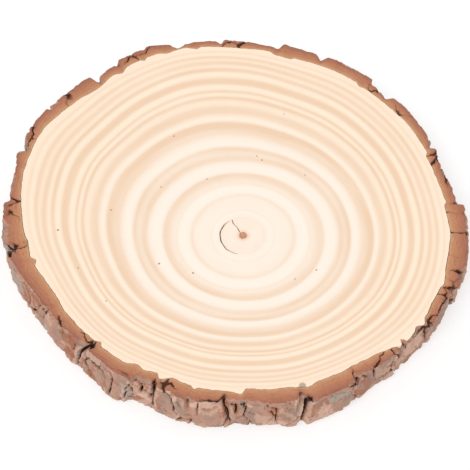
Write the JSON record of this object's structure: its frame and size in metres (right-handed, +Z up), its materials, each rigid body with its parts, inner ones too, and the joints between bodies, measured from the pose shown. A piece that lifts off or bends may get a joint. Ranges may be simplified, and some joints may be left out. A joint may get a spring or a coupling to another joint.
{
  "type": "wood slice",
  "caption": "Round slice sawn across a tree trunk, with pale growth rings round an off-centre pith and its rough scaly bark left on, lying flat.",
  "frame": {"origin": "the pith, which is the centre of the growth rings, on the flat underside that rests on the surface", "axes": "+Z up, square to both sawn faces; +X right and +Y away from the viewer, with the widest rings towards +Y"},
  "size_m": [0.2478, 0.243, 0.022],
  "materials": {
    "pale_wood": "sanded bare wood with tan growth rings, dry and matte",
    "bark": "dry scaly bark, red-brown where it is sawn and grey-brown outside, fully matte"
  },
  "bodies": {
    "root": {"wood": "pale_wood", "bark": "bark"}
  },
  "joints": []
}
